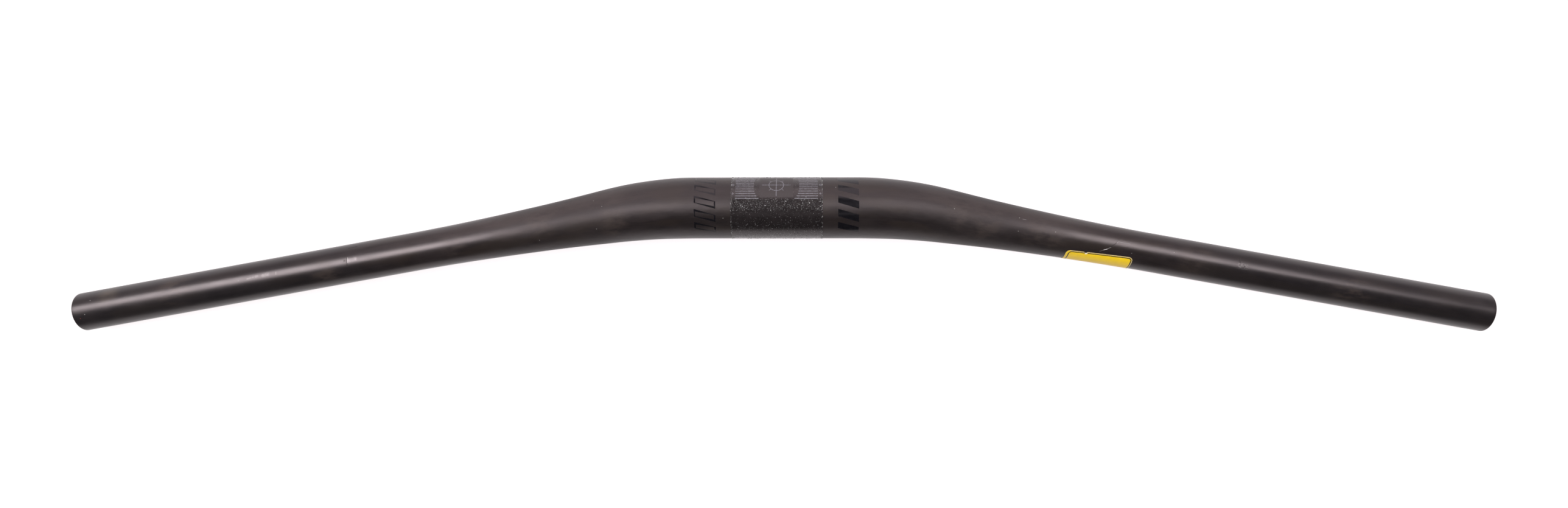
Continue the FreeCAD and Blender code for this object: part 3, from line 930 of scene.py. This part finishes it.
def grain_stuff_and_painted_glints():
    k = Nodes("grit_grain_and_painted_glints")
    t = k.attribute("tone").outputs["Fac"]
    # the top tones are near white: in the band beside the marks this white is painted glint, where the grains face the
    # lamps
    k.put(k.bsdf.inputs["Base Color"],
          k.mix(k.ramp(t, 0.86, 1.0, smooth=False),
                k.mix(k.ramp(t, 0.60, 0.86, smooth=False), (0.013, 0.0118, 0.0122, 1), (0.35, 0.345, 0.350, 1)),
                (0.86, 0.86, 0.86, 1)))
    k.put(k.bsdf.inputs["Roughness"], k.ramp(t, 0.0, 1.0, 0.14, 0.34))
    k.bsdf.inputs["IOR"].default_value = 1.62
    return k.mat


grains = grit()
grains.data.materials.append(grain_stuff_and_painted_glints())
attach(grains, "root")

# ------------------------------------------------------------------------
# Floor, light and camera
# ------------------------------------------------------------------------
FLOOR_Z = -0.0176


def floor():
    me = bpy.data.meshes.new("floor")
    e = 12.0
    me.from_pydata([(-e, -e, FLOOR_Z), (e, -e, FLOOR_Z), (e, e, FLOOR_Z), (-e, e, FLOOR_Z)], [], [(0, 1, 2, 3)])
    ob = bpy.data.objects.new("floor", me)
    bpy.context.scene.collection.objects.link(ob)
    k = Nodes("floor_paper")
    co = k.node("ShaderNodeTexCoord").outputs["Object"]
    n = k.noise(co, 3.0, 3.0)
    k.put(k.bsdf.inputs["Base Color"], k.mix(n, (0.145, 0.145, 0.145, 1), (0.165, 0.165, 0.165, 1)))
    k.bsdf.inputs["Roughness"].default_value = 0.9
    k.bsdf.inputs["Specular IOR Level"].default_value = 0.1
    y = k.split(co)[1]
    near = k.mix(k.ramp(y, -0.25, 0.25), (1.0, 0.945, 0.985, 1), (1.0, 0.955, 0.950, 1))
    far = k.ramp(k.vec("LENGTH", co, out=1), 0.9, 2.2)
    k.put(k.bsdf.inputs["Emission Color"], k.mix(far, near, (1.0, 1.0, 1.0, 1)))
    k.bsdf.inputs["Emission Strength"].default_value = 0.97
    me.materials.append(k.mat)
    return ob


floor()


def backdrop():
    """White paper dome behind everything. It is only a background: it lights nothing."""
    nu, nv, r = 72, 14, 9.0
    pts, quads = [], []
    for j in range(nv + 1):
        e = math.radians(88.0) * j / nv
        for i in range(nu):
            a = 2 * math.pi * i / nu
            pts.append((r * math.cos(e) * math.cos(a), r * math.cos(e) * math.sin(a), FLOOR_Z - 0.01 + r * math.sin(e)))
    for j in range(nv):
        for i in range(nu):
            k = (i + 1) % nu
            quads.append((j * nu + i, (j + 1) * nu + i, (j + 1) * nu + k, j * nu + k))
    me = bpy.data.meshes.new("backdrop")
    me.from_pydata(pts, [], quads)
    me.polygons.foreach_set("use_smooth", [True] * len(me.polygons))
    ob = bpy.data.objects.new("backdrop", me)
    bpy.context.scene.collection.objects.link(ob)
    k = Nodes("backdrop_paper")
    n = k.noise(k.node("ShaderNodeTexCoord").outputs["Object"], 0.6, 2.0)
    k.put(k.bsdf.inputs["Base Color"], k.mix(n, (0.10, 0.10, 0.10, 1), (0.12, 0.12, 0.12, 1)))
    k.bsdf.inputs["Roughness"].default_value = 0.9
    k.bsdf.inputs["Specular IOR Level"].default_value = 0.0
    k.bsdf.inputs["Emission Color"].default_value = (1.0, 1.0, 1.0, 1)
    k.bsdf.inputs["Emission Strength"].default_value = 0.94
    me.materials.append(k.mat)
    ob.visible_diffuse = ob.visible_glossy = ob.visible_transmission = ob.visible_shadow = False


backdrop()

world = bpy.data.worlds.new("studio")
bpy.context.scene.world = world
world.use_nodes = True
bg = world.node_tree.nodes["Background"]
bg.inputs[0].default_value = (1.0, 0.920, 0.945, 1)
bg.inputs[1].default_value = 0.46


def area(name, place, aim, size, power, turn=0.0, colour=(1, 1, 1)):
    """A soft box facing aim; turn swings its long side round that line."""
    li = bpy.data.lights.new(name, "AREA")
    li.shape = "RECTANGLE"
    li.size, li.size_y = size
    li.energy = power
    li.color = colour
    ob = bpy.data.objects.new(name, li)
    bpy.context.scene.collection.objects.link(ob)
    back = (Vector(place) - Vector(aim)).normalized()
    long = Vector((math.cos(turn), math.sin(turn), 0.0))
    long = (long - back * long.dot(back)).normalized()
    side = back.cross(long)
    m = Matrix((long, side, back)).transposed().to_4x4()
    m.translation = Vector(place)
    ob.matrix_world = m
    return ob


area("soft_left", (1.48, -0.43, 2.00), (0.30, 0.0, 0.0), (1.86, 0.80), 85.0, math.radians(-29))
area("soft_right", (-1.10, -0.79, 2.00), (-0.25, 0.0, 0.0), (0.76, 1.18), 39.0, math.radians(20))
area("soft_front", (0.12, -1.95, 1.10), (0.0, 0.0, 0.0), (2.7, 1.84), 23.5, 0.0, (1.0, 0.925, 0.94))
area("soft_over", (0.0, -0.52, 2.30), (0.0, -0.52, 0.0), (2.4, 1.0), 2.0)
area("soft_near", (0.0, 0.78, 2.10), (0.0, 0.0, 0.0), (1.2, 0.30), 0.7)

# dark cards above and on the near side take light away there; the camera doesn't see it
def card():
    me = bpy.data.meshes.new("dark_card")
    pts = [(-4.0, -1.95, 2.40), (4.0, -1.95, 2.40), (4.0, 1.00, 2.40), (-4.0, 1.00, 2.40),
           (4.0, 2.90, 0.02), (-4.0, 2.90, 0.02)]
    me.from_pydata(pts, [], [(0, 1, 2, 3), (3, 2, 4, 5)])
    ob = bpy.data.objects.new("dark_card", me)
    bpy.context.scene.collection.objects.link(ob)
    k = Nodes("card_black")
    co = k.node("ShaderNodeTexCoord").outputs["Object"]
    n = k.noise(co, 3.0, 3.0)
    k.put(k.bsdf.inputs["Base Color"], k.mix(n, (0.02, 0.02, 0.02, 1), (0.03, 0.03, 0.03, 1)))
    k.bsdf.inputs["Roughness"].default_value = 0.9
    me.materials.append(k.mat)
    ob.visible_camera = False


card()

# camera: 0.6 m above the lying bar, almost straight down
FOCAL_PX, WIDTH_PX = 1718.68, 2576.0
YAW, ROLL = 0.01478, -0.00048
CAM_X, CAM_V, CAM_D = 12.984, 26.446, 600.0
TILT = math.radians(38.52 - 28.9155) - REST
right0 = np.array([-1.0, 0.0, 0.0])
down0 = np.array([0.0, math.cos(TILT), math.sin(TILT)])
back0 = np.array([0.0, -math.sin(TILT), math.cos(TILT)])
basis = np.array([right0, down0, -back0])
cy, sy = math.cos(YAW), math.sin(YAW)
cr, sr = math.cos(ROLL), math.sin(ROLL)
turn = np.array([[cr, -sr, 0], [sr, cr, 0], [0, 0, 1]]) @ np.array([[cy, 0, sy], [0, 1, 0], [-sy, 0, cy]])
right, down, ahead = turn @ basis
place = (CAM_X * right0 + CAM_V * down0 + CAM_D * back0) / 1000
cam = bpy.data.objects.new("camera", bpy.data.cameras.new("camera"))
bpy.context.scene.collection.objects.link(cam)
cam.data.sensor_width = 36.0
cam.data.lens = 36.0 * FOCAL_PX / WIDTH_PX
cam.data.clip_start, cam.data.clip_end = 0.01, 100.0
cam.matrix_world = Matrix([[*map(float, (right[i], -down[i], -ahead[i], place[i]))] for i in range(3)] + [[0, 0, 0, 1]])
bpy.context.scene.camera = cam
bpy.context.scene.view_settings.view_transform = "Standard"
